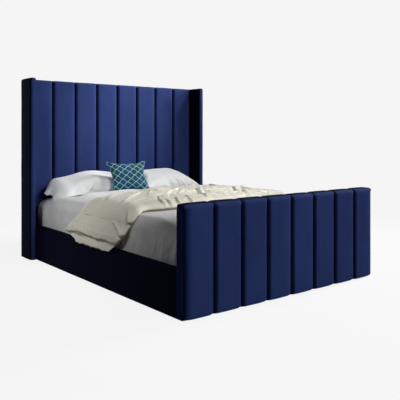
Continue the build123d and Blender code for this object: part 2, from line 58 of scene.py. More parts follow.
camera_data = bpy.data.cameras.new("camera")
camera_data.lens = camera_lens
camera_data.sensor_width = camera_sensor
camera_data.shift_y = camera_shift
camera_data.clip_end = camera_reach
camera = bpy.data.objects.new("camera", camera_data)
camera.location = camera_place
camera.rotation_euler = (math.radians(90), 0, math.radians(camera_turn))
scene.collection.objects.link(camera)
scene.camera = camera
scene.view_settings.view_transform = "Standard"


# Mesh helpers. An edge is sharp where its faces turn by more than the given radians

edge_sharp, quilt_sharp, never_sharp = 0.9, 1.6, 3


def link(name, points, faces):
    """A new mesh object from points and faces."""
    mesh = bpy.data.meshes.new(name)
    mesh.from_pydata(np.asarray(points, float).tolist(), [], faces)
    obj = bpy.data.objects.new(name, mesh)
    scene.collection.objects.link(obj)
    return obj


def clean(obj, sharp):
    """Merge doubles, turn every face outwards and shade smooth up to the sharp edges."""
    work = bmesh.new()
    work.from_mesh(obj.data)
    bmesh.ops.remove_doubles(work, verts=work.verts, dist=1e-5)
    bmesh.ops.recalc_face_normals(work, faces=work.faces)
    for face in work.faces:
        face.smooth = True
    for edge in work.edges:
        edge.smooth = edge.calc_face_angle(0) < sharp
    work.to_mesh(obj.data)
    work.free()
    return obj


def quads(grid):
    """The faces between the points of a grid of point numbers."""
    corners = (grid[:-1, :-1], grid[:-1, 1:], grid[1:, 1:], grid[1:, :-1])
    return np.stack(corners, axis=-1).reshape(-1, 4).tolist()


def tube(name, rings, sharp=edge_sharp, cap="face"):
    """Closed rings of equal size, joined in their order; each end is a face, a strip or open."""
    rings = np.asarray(rings, float)
    count, size = rings.shape[:2]
    grid = np.arange(count * size).reshape(count, size)
    faces = quads(np.concatenate([grid, grid[:, :1]], axis=1))
    for end in (grid[0], grid[-1]):
        if cap == "face":
            faces.append(end.tolist())
        elif cap == "strip":
            faces += quads(np.array([end[:size // 2], end[:size // 2 - 1:-1]]))
    return clean(link(name, rings.reshape(-1, 3), faces), sharp)


def arc(centre, radius, start, end, steps):
    """Points of an arc in a plane, each with its outward direction."""
    found = []
    for step in range(steps + 1):
        turn = math.radians(start + (end - start) * step / steps)
        out = (math.cos(turn), math.sin(turn))
        found.append((centre[0] + radius * out[0], centre[1] + radius * out[1], *out))
    return found


def run_points(start, end, out, steps):
    """Points along a straight run in a plane, without its ends, each with its outward direction."""
    way = (end[0] - start[0], end[1] - start[1])
    return [(start[0] + way[0] * k / steps, start[1] + way[1] * k / steps, *out)
            for k in range(1, steps)]


def rounded_loop(low, high, radii, sides, steps=7):
    """A rectangle with a radius for each corner, from the front left one round by the right."""
    bends = []
    for corner, radius in enumerate(radii):
        x = low[0] + radius if corner in (0, 3) else high[0] - radius
        y = low[1] + radius if corner < 2 else high[1] - radius
        start = (180 + 90 * corner) % 360
        bends.append(arc((x, y), radius, start, start + 90, steps))
    found = []
    for bend, after, cells in zip(bends, bends[1:] + bends[:1], sides):
        found += bend + run_points(bend[-1], after[0], bend[-1][2:], cells)
    return found


def wave(point, scale, seed=0):
    """Smooth noise between about -1 and 1 at a point."""
    return noise.noise(Vector(point) * scale + Vector((seed, 1.7 * seed, -0.6 * seed)))


def ramp(value, low, high):
    """0 at low, 1 at high, smooth between them."""
    share = min(max((value - low) / (high - low), 0), 1)
    return share * share * (3 - 2 * share)


def eased(values, low, high):
    """The smooth step for an array, from low to high in either direction."""
    share = np.clip((values - low) / (high - low), 0, 1)
    return share * share * (3 - 2 * share)


def hump(share, power):
    """1 in the middle of a width and 0 at both ends of it, flat between for a high power."""
    return 1 - abs(2 * share - 1) ** power


def dress(obj, body, material, node):
    """Give a piece its material and its body, and hide the solid that it stands for."""
    obj.data.materials.clear()
    obj.data.materials.append(material)
    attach(obj, body)
    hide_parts(node)


# Material helpers

even = (1, 1, 1)


class Nodes:
    """The nodes of a material or a world, with short calls for the usual ones."""

    def __init__(self, owner, **uniform):
        """Uniform values go to the Principled shader; without any, the tree starts empty."""
        if isinstance(owner, str):
            owner = bpy.data.materials.new(owner)
        owner.use_nodes = True
        self.owner, self.tree = owner, owner.node_tree
        if uniform:
            self.shader = self.tree.nodes["Principled BSDF"]
            self.put(self.shader, uniform)
        else:
            self.tree.nodes.clear()
        self.coords = self.add("ShaderNodeTexCoord").outputs

    def put(self, node, inputs):
        """Fill inputs of a node, each with a value or with another node's socket."""
        for key, value in dict(inputs).items():
            socket = node.inputs[key.replace("_", " ") if isinstance(key, str) else key]
            if isinstance(value, bpy.types.NodeSocket):
                self.tree.links.new(value, socket)
            else:
                socket.default_value = value

    def add(self, kind, inputs=(), **settings):
        node = self.tree.nodes.new(kind)
        for key, value in settings.items():
            setattr(node, key, value)
        self.put(node, inputs)
        return node

    def scaled(self, scale, output="Object"):
        """Coordinates of the piece times a scale for each axis."""
        inputs = {"Scale": scale, "Vector": self.coords[output]}
        return self.add("ShaderNodeMapping", inputs).outputs["Vector"]

    def axes(self, output):
        """The three numbers of the piece's coordinates, normal or UV place."""
        return tuple(self.add("ShaderNodeSeparateXYZ", {0: self.coords[output]}).outputs)

    def noise(self, stretch, scale=1, detail=3, roughness=0.5, distortion=0):
        inputs = dict(Vector=self.scaled(stretch), Scale=scale, Detail=detail,
                      Roughness=roughness, Distortion=distortion)
        return self.add("ShaderNodeTexNoise", inputs).outputs["Fac"]

    def wave(self, scale, distortion=0, direction="X", detail=2, output="Object"):
        inputs = dict(Vector=self.scaled(even, output), Scale=scale,
                      Distortion=distortion, Detail=detail)
        return self.add("ShaderNodeTexWave", inputs, bands_direction=direction).outputs["Fac"]

    def math(self, kind, *values):
        return self.add("ShaderNodeMath", enumerate(values), operation=kind).outputs[0]

    def span(self, value, low, high, out_low=0, out_high=1):
        """The value from low to high laid over another range, clamped."""
        inputs = enumerate((value, low, high, out_low, out_high))
        return self.add("ShaderNodeMapRange", inputs).outputs["Result"]

    def blend(self, share, first, second):
        """Mix two colours, each a tuple or a socket."""
        first, second = ((*c, 1) if isinstance(c, tuple) else c for c in (first, second))
        inputs = {0: share, 6: first, 7: second}
        return self.add("ShaderNodeMix", inputs, data_type="RGBA").outputs[2]

    def finish(self, colour, *layers, **inputs):
        """Wire the colour and the bumps: (height, distance in metres, strength), one on another."""
        below = {}
        for height, distance, strength in layers:
            bump = {"Distance": distance, "Strength": strength, "Height": height, **below}
            below = {"Normal": self.add("ShaderNodeBump", bump).outputs["Normal"]}
        self.put(self.shader, {"Base Color": colour, **below, **inputs})
        return self.owner


def make_velvet(name, shade, channelled=True):
    """Clouded navy velvet with painted shade: on the shoulders and tops of channels, or on all but
    the front and back of plain pieces.
    """
    m = Nodes(name, Roughness=0.88, Sheen_Roughness=0.4, Sheen_Tint=(0.16, 0.26, 0.8, 1))
    cloud = m.span(m.noise((1.5, 1.5, 0.9), 2.2, 4, 0.55, 0.4), 0.3, 0.7)
    streak = m.span(m.noise((9, 9, 2.2), 1.6, 3, 0.5, 0.6), 0.35, 0.75, 0, 0.25)
    tone = m.blend(cloud, (0.016, 0.03, 0.118), (0.0228, 0.0408, 0.153))
    tone = m.blend(streak, tone, (0.03, 0.052, 0.182))
    # Painted shade by the facing of each face: on channels, faces turned left, steeply right or up
    # take the shade colour; on plain pieces, every face but the front and back takes it
    side, front, top = m.axes("Normal")
    if channelled:
        left, right = m.span(side, -0.52, -0.1, 1, 0), m.span(side, 0.6, 0.97)
        dark = m.math("MAXIMUM", m.math("MAXIMUM", left, right), m.span(top, 0.78, 0.98))
    else:
        dark = m.span(m.math("ABSOLUTE", front), 0.5, 0.92, 1, 0)
    pile = m.noise((1, 1, 0.6), 900, 2)
    lie = m.noise((1, 1, 0.5), 26, 3, 0.5, 0.8)
    # Where the painted shade lies, the sheen and specular are also turned down to almost nothing
    return m.finish(m.blend(dark, tone, shade), (pile, 0.0006, 0.3), (lie, 0.003, 0.16),
                    Sheen_Weight=m.span(dark, 0, 1, 0.16, 0.008),
                    Specular_IOR_Level=m.span(dark, 0, 1, 0.12, 0.02))


def make_cotton(name, light, shade, wrinkle, crumple=None, underside_shade=None):
    """Plain woven cotton; its crumples fade in along X, and its faces turned down can take a
    painted shade colour.
    """
    m = Nodes(name, Roughness=0.88, Sheen_Weight=0.12, Sheen_Roughness=0.5, Specular_IOR_Level=0.2)
    tone = m.blend(m.span(m.noise(even, 5), 0.35, 0.65), light, shade)
    # Painted shade: faces turned down, as under the duvet's rolled foot edge, take the darker
    # underside colour
    if underside_shade:
        tone = m.blend(m.span(m.axes("Normal")[2], -0.55, -0.2, 1, 0), tone, underside_shade)
    weave = m.math("MULTIPLY", m.wave(260, 0.6), m.wave(260, 0.6, "Y"))
    crease = m.noise((1, 1, 0.7), 16, 4, 0.55, 1.2)
    fine = m.noise(even, 60, 3, 0.5, 0.6)
    layers = [(weave, 0.0004, 0.2), (crease, 0.006, wrinkle), (fine, 0.0012, 0.35)]
    if crumple:
        start, end, depth = crumple
        sharp = m.noise((1, 1.35, 1), 7, 3, 0.45, 0.9)
        ridge = m.span(m.math("ABSOLUTE", m.math("SUBTRACT", sharp, 0.5)), 0, 0.16)
        share = m.span(m.axes("Object")[0], start, end)
        layers.append((m.math("MULTIPLY", m.math("POWER", ridge, 0.6), share), depth, 0.55))
    return m.finish(tone, *layers)


def make_trellis():
    """Mint lines in a curved diamond lattice over a blue and teal ground."""
    m = Nodes("trellis_weave", Roughness=0.85, Sheen_Weight=0.1, Specular_IOR_Level=0.2)
    across, along, _ = m.axes("UV")
    rising, falling = m.math("ADD", across, along), m.math("SUBTRACT", across, along)

    def off_middle(value):
        return m.math("ABSOLUTE", m.math("SUBTRACT", m.math("FRACT", value), 0.5))

    def line(main, other):
        sway = m.math("MULTIPLY", m.math("SINE", m.math("MULTIPLY", other, 2 * math.pi)), 0.03)
        return m.span(off_middle(m.math("ADD", main, sway)), 0.025, 0.05, 1, 0)

    squares = [m.math("POWER", off_middle(value), 2) for value in (rising, falling)]
    knot = m.span(m.math("SQRT", m.math("ADD", *squares)), 0.062, 0.098, 1, 0)
    lines = m.math("MAXIMUM", m.math("MAXIMUM", line(rising, falling), line(falling, rising)), knot)
    cloud = m.span(m.noise(even, 7), 0.35, 0.65)
    ground = m.blend(cloud, (0.014, 0.082, 0.225), (0.009, 0.072, 0.13))
    mint = m.blend(cloud, (0.52, 0.84, 0.74), (0.46, 0.78, 0.54))
    return m.finish(m.blend(lines, ground, mint),
                    (m.wave(30, output="UV"), 0.0004, 0.3), (lines, 0.0004, 0.4))


def make_wood(name, light, dark, axis, ring=18, rough=0.62):
    """Planed timber with its grain along one axis."""
    stretch = np.ones(3)
    stretch[axis] = 0.07
    m = Nodes(name, Roughness=rough, Specular_IOR_Level=0.35)
    grain = m.noise(tuple(ring * stretch), 1, 5, 0.6, 1.4)
    fibre = m.noise(tuple(140 * stretch), 1, 2)
    tone = m.blend(m.span(grain, 0.36, 0.66), light, dark)
    return m.finish(m.blend(m.span(fibre, 0.3, 0.8, 0, 0.25), tone, dark),
                    (fibre, 0.0005, 0.35), (grain, 0.0008, 0.2))


def grains(name, light, dark, *settings):
    """The same timber with its grain along each axis in turn."""
    return [make_wood(f"{name}_grain_{axis}", light, dark, axis, *settings) for axis in range(3)]


def make_metal(name, colour, rough, metallic, grain):
    """Plated or coated steel with a fine uneven surface, or a plastic moulding."""
    m = Nodes(name, Roughness=rough, Metallic=metallic)
    cloud = m.noise(even, grain)
    tone = m.blend(m.span(cloud, 0.3, 0.7), colour, tuple(0.72 * c for c in colour))
    return m.finish(tone, (m.noise(even, 420, 2), 0.0003, 0.2),
                    Roughness=m.span(cloud, 0.3, 0.7, rough - 0.06, rough + 0.1))


def make_ticking():
    """Pale mattress ticking with a narrow woven stripe and a quilted surface."""
    m = Nodes("ticking_weave", Roughness=0.85, Sheen_Weight=0.08)
    stripe = m.span(m.wave(9, detail=0), 0.9, 0.96)
    quilting, weave = m.wave(3.2, 0, "DIAGONAL", 0), m.noise(even, 500, 2)
    return m.finish(m.blend(stripe, (0.78, 0.77, 0.73), (0.5, 0.53, 0.58)),
                    (quilting, 0.006, 0.4), (weave, 0.0005, 0.3))


def make_lining():
    """Black non-woven lining with pressed dots."""
    m = Nodes("lining_cloth", Roughness=0.95, Specular_IOR_Level=0.12)
    dots = m.add("ShaderNodeTexVoronoi", {"Scale": 260, "Randomness": 0.25,
                                          "Vector": m.scaled(even)}, feature="F1")
    fibre = m.noise(even, 90, 4)
    tone = m.blend(m.span(fibre, 0.3, 0.7), (0.012, 0.012, 0.014), (0.022, 0.022, 0.025))
    return m.finish(tone, (dots.outputs["Distance"], 0.0006, 0.35), (fibre, 0.001, 0.2))


# Three copies of the velvet, each with its own painted shade colour: dark on the channels, lighter
# on the footboard cover, darkest on the plain pieces
channel_velvet = make_velvet("navy_velvet_channels", (0.0022, 0.0046, 0.022))
cover_velvet = make_velvet("navy_velvet_cover", (0.0095, 0.019, 0.083))
plain_velvet = make_velvet("navy_velvet_plain", (0.0006, 0.0011, 0.007), False)
sheet_cotton = make_cotton("white_sheet_weave", (0.84, 0.84, 0.83), (0.79, 0.79, 0.785), 0.35)
pillow_cotton = make_cotton("pillow_case_weave", (0.87, 0.875, 0.87), (0.82, 0.83, 0.825), 0.3)
# The dark taupe on the duvet's down-facing faces is painted shade
duvet_cotton = make_cotton("cream_duvet_weave", (0.9, 0.865, 0.75), (0.86, 0.82, 0.7), 0.3,
                           crumple=(-0.55, -0.15, 0.018), underside_shade=(0.3, 0.28, 0.22))
trellis = make_trellis()
ticking = make_ticking()
lining = make_lining()

# What each CAD material looks like, for a piece that is longest in X, Y or Z
finishes = {
    "zinc_steel": [make_metal("zinc_plate", (0.6, 0.61, 0.63), 0.34, 1, 55)] * 3,
    "black_steel": [make_metal("black_coat_steel", (0.02, 0.02, 0.022), 0.48, 0.3, 90)] * 3,
    "black_plastic": [make_metal("black_moulding", (0.018, 0.018, 0.019), 0.52, 0, 120)] * 3,
    "pine": grains("pine", (0.62, 0.43, 0.22), (0.44, 0.26, 0.11)),
    "plywood": grains("plywood", (0.6, 0.45, 0.27), (0.48, 0.32, 0.17), 9),
    "birch": grains("birch", (0.72, 0.57, 0.38), (0.6, 0.43, 0.25), 26, 0.45),
}
for name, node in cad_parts.items():
    low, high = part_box(name)
    axis = int(np.argmax(np.array(high) - np.array(low)))
    for place, material in enumerate(node.data.materials):
        if material and material.name in finishes:
            node.data.materials[place] = finishes[material.name][axis]


# Padded channels of the headboard and the footboard

channel_count = 8
half_seam = 0.0002
seam_crown = 0.0022       # how far a channel swells between its seams
groove_steps = 10
crown_steps = 10
channel_cell = 0.013
pad_lip = 0.004
least_pad = 0.0015        # padding left under a groove
full_pad = 0.016          # thinner padding wrinkles less
pucker_pitch, pucker_height, pucker_reach = 0.034, 0.00045, 0.012


def channel_path(front, board, back, bottom, frame_top, top, top_round, bottom_round, back_round):
    """The outer line of a channel from its foot over its top, with the point behind each place."""
    def run(start, end, out):
        return run_points(start, end, out, max(2, round(math.dist(start, end) / channel_cell)))

    if bottom_round:
        foot = (front + bottom_round, bottom + bottom_round)
        path = [(board - pad_lip, bottom, 0, -1), *arc(foot, bottom_round, 270, 180, 6)]
    else:
        path = [(front, bottom, -1, 0)]
    path += run((front, bottom + bottom_round), (front, top - top_round), (-1, 0))
    path += arc((front + top_round, top - top_round), top_round, 180, 90, 9)
    path += run((front + top_round, top), (back - back_round, top), (0, 1))
    path += arc((back - back_round, top - back_round), back_round, 90, 0, 5)
    path.append((back, frame_top, 1, 0))
    behind = [(min(max(y, board), back - pad_lip), min(max(z, bottom), frame_top))
              for y, z, _, _ in path]
    return path, behind


def channel(name, left, right, path, behind, left_round, right_round, groove_depth, top_groove,
            seed):
    """One padded channel between two seams, its grooves shallower over the top and behind."""
    width = right - left
    bend = 1 - np.cos(np.pi / 2 * np.arange(groove_steps) / groove_steps)
    spots = np.concatenate([left_round * bend,
                            np.linspace(left_round, width - right_round, crown_steps + 1),
                            width - right_round * bend[::-1]])
    rings = []
    travelled = 0
    for number, ((y, z, out_y, out_z), (back_y, back_z)) in enumerate(zip(path, behind)):
        if number:
            travelled += math.dist((y, z), path[number - 1][:2])
        depth = math.dist((y, z), (back_y, back_z))
        padding = min(depth / full_pad, 1)
        groove = 1 + (top_groove - 1) * ramp(max(out_z, out_y), -0.15, 0.85)
        deep = max(min(groove_depth * groove, depth - least_pad), 0)
        ring = []
        for spot in spots:
            here = (left + spot, y, z)
            edge = min(spot, width - spot)
            share = max(1 - spot / left_round, 1 - (width - spot) / right_round, 0)
            move = seam_crown * hump(spot / width, 2.6) * groove
            move -= deep * (1 - math.sqrt(max(1 - share * share, 0)))
            calm = ramp(edge, 0, 0.03) * padding
            move += calm * (0.0011 * wave(here, 5, seed) + 0.0006 * wave(here, 17, seed))
            turn = 2 * math.pi * travelled / pucker_pitch + seed + 3 * wave(here, 6, seed)
            reach = math.exp(-((edge - pucker_reach) / pucker_reach) ** 2) * padding
            move += pucker_height * math.sin(turn) * reach
            ring.append((left + spot, y + out_y * move, z + out_z * move))
        rings.append([*ring, (right, back_y, back_z), (left, back_y, back_z)])
    return tube(name, rings)


def channels(prefix, board, rounds, end_round, seam_round, groove_depth, top_groove):
    """All the channels of one board, each where its solid is."""
    low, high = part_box(f"{prefix}_channel_4")
    board_low, board_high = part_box(board)
    path, behind = channel_path(
        low.y, board_low.y, high.y, low.z, board_high.z, high.z, *rounds)
    for number in range(1, channel_count + 1):
        node = f"{prefix}_channel_{number}"
        low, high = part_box(node)
        first, last = number == 1, number == channel_count
        piece = channel(
            f"{node}_pad", low.x - half_seam * (not first), high.x + half_seam * (not last),
            path, behind, end_round if first else seam_round, end_round if last else seam_round,
            groove_depth, top_groove, 3.1 * number + len(prefix))
        dress(piece, "bed", channel_velvet, node)


# Rounds are those of the top, the foot and the back edge
channels("headboard", "headboard_board", (0.017, 0, 0.008),
         end_round=0.022, seam_round=0.036, groove_depth=0.018, top_groove=0.14)
channels("footboard", "footboard_front_board", (0.03, 0.022, 0.009),
         end_round=0.07, seam_round=0.033, groove_depth=0.025, top_groove=0.3)
head_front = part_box("headboard_channel_4")[0].y


# Plain covers: wings, side rails, the back of the footboard and the base of the headboard

hands = ((-1, "left"), (1, "right"))
wing_swell, rail_swell, cover_swell = 0.0028, 0.0022, 0.0012
wing_round, wing_top_round, wing_back_round, pocket_round = 0.018, 0.014, 0.003, 0.0004
wing_cells = (5, 17, 5, 17)
wing_bare = head_front - 0.012     # behind this a wing's inside lies flat on the headboard
for side, word in hands:
    low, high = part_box(f"wing_cover_{word}")
    core_low, core_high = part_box(f"wing_core_{word}")
    # Each level as its place behind the outline, its height, and how far it faces out and up
    levels = [(0, z, 1, 0) for z in np.linspace(low.z, high.z - wing_top_round, 72)]
    levels += arc((-wing_top_round, high.z - wing_top_round), wing_top_round, 0, 90, 8)[1:]
    rings = []
    for z in (core_high.z, low.z):
        pocket = rounded_loop(core_low, core_high, (pocket_round,) * 4, wing_cells)
        rings.append([(x, y, z) for x, y, _, _ in pocket])
    for behind, z, flat, rise in levels:
        front = max(wing_round + behind, 0.004)
        ring = []
        for x, y, out_x, out_y in rounded_loop(
                (low.x - behind, low.y - behind), (high.x + behind, high.y),
                (front, front, wing_back_round, wing_back_round), wing_cells):
            here = (x, y, z)
            outside = out_x * side > 0.5
            lift = 0
            if outside:
                depth_share = (y - low.y) / (high.y - low.y)
                lift = wing_swell * hump(depth_share, 2.2) * (1 + behind / wing_top_round)
            if outside or y < wing_bare:
                lift += 0.001 * wave(here, 5.5, side) + 0.0005 * wave(here, 18, side)
            ring.append((x + out_x * lift * flat, y + out_y * lift * flat, z + lift * rise))
        rings.append(ring)
    dress(tube(f"wing_{word}_velvet", rings), "bed", plain_velvet,
          f"wing_cover_{word}")

rail_round, rail_inner_round = 0.015, 0.009
for side, word in hands:
    low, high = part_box(f"side_rail_cover_{word}")
    timber_low, timber_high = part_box(f"side_rail_{word}")
    outer_x, inner_x = (low.x, high.x)[::-side]
    pocket_out, pocket_in = (timber_low.x, timber_high.x)[::-side]
    start, end = outer_x - side * rail_round, inner_x + side * rail_inner_round
    section = [(outer_x, z, side, 0) for z in np.linspace(low.z, high.z - rail_round, 20)]
    section += arc((start, high.z - rail_round), rail_round, 90 - 90 * side, 90, 7)[1:]
    section += run_points((start, high.z), (end, high.z), (0, 1), 4)
    section += arc((end, high.z - rail_inner_round), rail_inner_round, 90, 90 + 90 * side, 6)
    section += [(inner_x, z, -side, 0) for z in np.linspace(high.z - 0.05, low.z, 9)]
    section += [(pocket_in, low.z, 0, 0), (pocket_in, timber_high.z, 0, 0),
                (pocket_out, timber_high.z, 0, 0), (pocket_out, low.z, 0, 0)]
    rings = []
    for y in np.linspace(low.y, high.y, 110):
        ends = ramp(min(y - low.y, high.y - y), 0, 0.05)
        ring = []
        for x, z, out_x, out_z in section:
            here = (x, y, z)
            lift = 0.0011 * wave(here, 4.5, 9) + 0.0005 * wave(here, 16, 9)
            if out_x * side > 0.5:
                lift += rail_swell * hump((z - low.z) / (high.z - low.z), 2.4)
            ring.append((x + out_x * lift * ends, y, z + out_z * lift * ends))
        rings.append(ring)
    dress(tube(f"side_rail_{word}_velvet", rings), "bed", plain_velvet,
          f"side_rail_cover_{word}")

cover_round = 0.005
low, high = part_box("footboard_cover")
core_low, core_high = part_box("footboard_front_board")
core_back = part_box("footboard_back_board")[1].y
start, end, turn_y = low.x + cover_round, high.x - cover_round, high.y - cover_round
plan = [(low.x, y, -1, 0) for y in np.linspace(low.y, turn_y, 6)]
plan += arc((start, turn_y), cover_round, 180, 90, 6)[1:-1]
plan += [(x, high.y, 0, 1) for x in np.linspace(start, end, 90)]
plan += arc((end, turn_y), cover_round, 90, 0, 6)[1:-1]
plan += [(high.x, y, 1, 0) for y in np.linspace(turn_y, low.y, 6)]
plan += [(core_high.x, low.y, 0, 0), (core_high.x, core_back, 0, 0),
         (core_low.x, core_back, 0, 0), (core_low.x, low.y, 0, 0)]
rings = []
for z in np.linspace(low.z, high.z, 36):
    ends = ramp(min(z - low.z, high.z - z), 0, 0.04)
    ring = []
    for x, y, out_x, out_y in plan:
        here = (x, y, z)
        lift = 0.0008 + 0.001 * wave(here, 4, 4) + 0.0005 * wave(here, 15, 4)
        if abs(out_x) > 0.5:
            lift += cover_swell * hump((y - low.y) / (high.y - low.y), 2)
        ring.append((x + out_x * lift * ends, y + out_y * lift * ends, z))
    rings.append(ring)
dress(tube("footboard_plain_cover", rings), "bed", cover_velvet,
      "footboard_cover")


def soft_panel(name, low, high, across, up, facing, face):
    """An upright panel whose front (-1) or back (1) is uneven inside its edges."""
    rings = []
    for j, z in enumerate(np.linspace(low.z, high.z, up + 1)):
        front, back = [], []
        for i, x in enumerate(np.linspace(low.x, high.x, across + 1)):
            lift = face(x, z) * min(min(i, across - i, 2 * j, 2 * (up - j)) / 6, 1)
            front.append((x, low.y - lift * (facing < 0), z))
            back.append((x, high.y + lift * (facing > 0), z))
        rings.append(front + back[::-1])
    return tube(name, rings, cap="strip")


def base_face(x, z):
    return 0.0012 + 0.0008 * wave((x, 0, z), 6, 2)


def lining_face(x, z):
    broad = 0.0016 + 0.0018 * wave((x, 0, 0.6 * z), 3.5, 6)
    return broad + 0.0007 * wave((x, 0, z), 14, 6)


low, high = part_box("headboard_base_cover")
base = soft_panel("headboard_base_velvet", low, high, 120, 22, -1, base_face)
dress(base, "bed", plain_velvet, "headboard_base_cover")

low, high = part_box("headboard_back_cloth")
back = soft_panel("headboard_back_lining", low, high, 130, 110, 1, lining_face)
dress(back, "bed", lining, "headboard_back_cloth")


# Mattress and fitted sheet

mattress_low, mattress_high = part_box("mattress")
sheet_low, sheet_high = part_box("fitted_sheet")
bed_middle = (mattress_low.y + mattress_high.y) / 2
half_x = (mattress_high.x - mattress_low.x) / 2
half_y = (mattress_high.y - mattress_low.y) / 2
corner_round, top_round, foot_round, least_round = 0.042, 0.07, 0.025, 0.012
corner_steps, corner_sink, mattress_fill = 12, 0.036, 0.9
mattress_top = mattress_high.z
shoulder_z = mattress_top - top_round
sheet_top = sheet_high.z
sheet_side_cells = (100, 240, 100, 240)
mattress_gap, sheet_gap, sheet_thick = 0.0006, 0.0015, 0.0008


def slab_ring(grow, inset, z):
    """One ring round the mattress, grown outwards and drawn in."""
    reach = grow - inset
    radius = max(corner_round + reach, least_round)
    loop = rounded_loop((-half_x - reach, bed_middle - half_y - reach),
                        (half_x + reach, bed_middle + half_y + reach),
                        (radius,) * 4, sheet_side_cells, corner_steps)
    return [(x, y, z, out_x, out_y) for x, y, out_x, out_y in loop]


def edge_rings(grow, radius, middle_z, start, end, steps):
    """Rings that turn round an edge of the mattress between two angles."""
    turned = arc((-radius, middle_z), radius, start, end, steps)
    return [slab_ring(grow, -behind, z) for behind, z, _, _ in turned]


def inner_rings(ring, z, steps):
    """Rings from the given one in to the middle line of the mattress."""
    found = []
    spine = half_y - half_x
    for step in range(1, steps + 1):
        share = step / steps
        row = []
        for x, y, _, out_x, out_y in ring:
            y_spine = bed_middle + min(max(y - bed_middle, -spine), spine)
            row.append((x * (1 - share), y + (y_spine - y) * share, z, out_x, out_y))
        found.append(row)
    return found


def corner_drop(x, y, z):
    """How far the soft corners of the mattress lie below its flat top."""
    corner = ramp(abs(x), 0.5, 0.75) * ramp(abs(y - bed_middle), 0.66, 0.92)
    return corner_sink * corner * ramp(z, shoulder_z - 0.07, mattress_top - 0.01)


tape_middle, tape_half, tape_deep = mattress_low.z + 0.039, 0.009, 0.004
mattress_rings = edge_rings(-mattress_gap, foot_round, mattress_low.z + foot_round, -90, 0, 5)
for z in np.linspace(tape_middle - tape_half, tape_middle + tape_half, 7):
    hollow = tape_deep * (1 - math.cos((z - tape_middle) / tape_half * math.pi / 2))
    mattress_rings.append(slab_ring(-mattress_gap, hollow, z))
for z in np.linspace(mattress_low.z + 0.055, shoulder_z, 14):
    mattress_rings.append(slab_ring(-mattress_gap, 0, z))
mattress_rings += edge_rings(-mattress_gap, top_round, shoulder_z - mattress_gap, 8, 90, 10)
mattress_rings += inner_rings(mattress_rings[-1], mattress_top - mattress_gap, 16)[:-1]
mattress_body = tube("mattress_body", [
    [(x, y, z - corner_drop(x, y, z)) for x, y, z, _, _ in ring] for ring in mattress_rings])
dress(mattress_body, "mattress", ticking, "mattress")

side_belly, side_fold, side_wrinkle = 0.005, 0.011, 0.0065
gather_height, gather_pitch, gather_reach = 0.0012, 0.028, 0.05


def sheet_lift(x, y, z, out_x, out_y):
    """How far the fitted sheet stands off the mattress: folds at its sides, gathers at its hem."""
    below_top = 1 - ramp(z, shoulder_z - 0.01, sheet_top - 0.012)
    if below_top <= 0:
        return 0
    run = y if abs(out_x) > 0.5 else x
    level = min(max((z - sheet_low.z) / (sheet_top - sheet_low.z), 0), 1)
    body = side_belly * math.sin(math.pi * level)
    drift = (z - sheet_low.z) * (0.3 + 0.35 * wave((run, 0, 0), 3, 5))
    fold = wave((run + drift, 3 * out_x, 2 * out_y), 13, 7)
    fine = 0.6 - 1.8 * abs(wave((run + 1.2 * drift, out_y, 0.35 * z), 17, 2))
    fine += 0.5 * wave((run + 0.8 * drift, out_y, 0.5 * z), 48, 4)
    pull = 0.55 + 0.45 * math.sin(math.pi * ramp(z, sheet_low.z, shoulder_z))
    lift = below_top * (body + pull * (side_fold * max(fold, -0.3) + side_wrinkle * fine))
    gather = 1 - ramp(z, sheet_low.z, sheet_low.z + gather_reach)
    gather *= math.sin(2 * math.pi * run / gather_pitch) * (0.4 + 0.6 * abs(out_x * out_y) * 2)
    return max(lift + gather_height * gather, 0)


def ridge_lift(x, y):
    """The bunched fold of the sheet between the duvet and the pillows."""
    near = ramp(x, -0.4, -0.1)
    middle, width = 0.594 - 0.072 * near, 0.042 - 0.02 * near
    long_way = ramp(x, -0.66, -0.46) * (1 - ramp(x, -0.02, 0.05))
    height = (0.036 + 0.01 * near) * (1 + 0.16 * wave((x, 0, 0), 9, 2))
    return height * long_way * math.exp(-((y - middle) / width) ** 2)


def band_lift(x, y):
    """Soft creases on top of the mattress, clear of the bedding that lies there."""
    band = ramp(y, 0.4, 0.5) * (1 - ramp(y, 0.56, 0.62))
    band *= 1 - ramp(x, -0.3, -0.1)
    foot = 1 - ramp(y, -0.72, -0.62)
    rise = 0.0018 * (1 + wave((x, 1.4 * y, 0), 6, 3)) * band
    rise += 0.0016 * (1 + wave((0.6 * x, 1.6 * y, 0), 5, 8)) * foot
    return rise + ridge_lift(x, y)


full_round = top_round + sheet_gap
sheet_rings = [slab_ring(sheet_gap, 0, z) for z in np.linspace(sheet_low.z, shoulder_z, 22)]
sheet_rings += edge_rings(sheet_gap, full_round, shoulder_z, 7.5, 90, 11)
sheet_rings += inner_rings(sheet_rings[-1], sheet_top, 60)
rings = []
for ring in sheet_rings:
    row = []
    for x, y, z, out_x, out_y in ring:
        lift = sheet_lift(x, y, z, out_x, out_y)
        up = ramp(z, shoulder_z, sheet_top - 0.004)
        side_out = lift * (1 - 0.7 * up)
        level = z + 0.35 * lift * up + band_lift(x, y) * up - corner_drop(x, y, z)
        row.append((x + out_x * side_out, y + out_y * side_out, level))
    rings.append(row)
sheet = tube("fitted_sheet_cotton", rings, never_sharp, cap=None)
thick = sheet.modifiers.new("thickness", "SOLIDIFY")
thick.thickness = sheet_thick
thick.offset = -1
dress(sheet, "mattress", sheet_cotton, "fitted_sheet")


# Duvet: one thick quilt laid over the bed, bunched along its length and hanging over both rails.
# Its underside follows one line across the bed, from hem to hem

